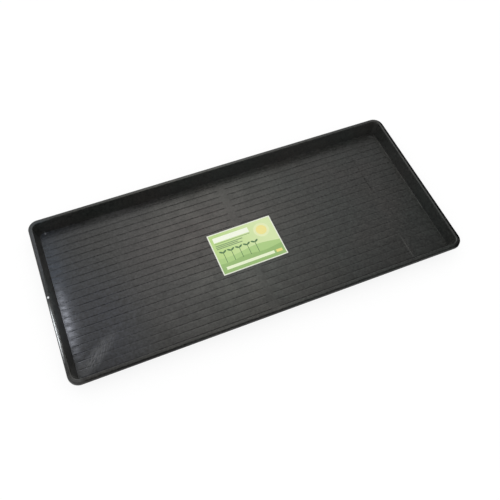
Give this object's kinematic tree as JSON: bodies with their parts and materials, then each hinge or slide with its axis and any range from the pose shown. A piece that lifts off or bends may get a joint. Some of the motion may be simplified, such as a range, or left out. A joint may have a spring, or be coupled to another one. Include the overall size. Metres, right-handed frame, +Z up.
{
  "type": "seed tray",
  "caption": "Large shallow black tray with sloping walls, a rolled rim and a grooved floor, holding pots or seed modules and catching their water; a printed label lies inside.",
  "frame": {"origin": "middle of the tray's footprint, at the height of the ridges it stands on", "axes": "+X along the tray's length, +Y across it to the back as pictured, +Z up out of the open side"},
  "size_m": [1.2, 0.545, 0.05],
  "materials": {
    "tray_body": "satin",
    "label": "satin"
  },
  "bodies": {
    "root": {"tray_body": "tray_body", "label": "label"}
  },
  "joints": []
}
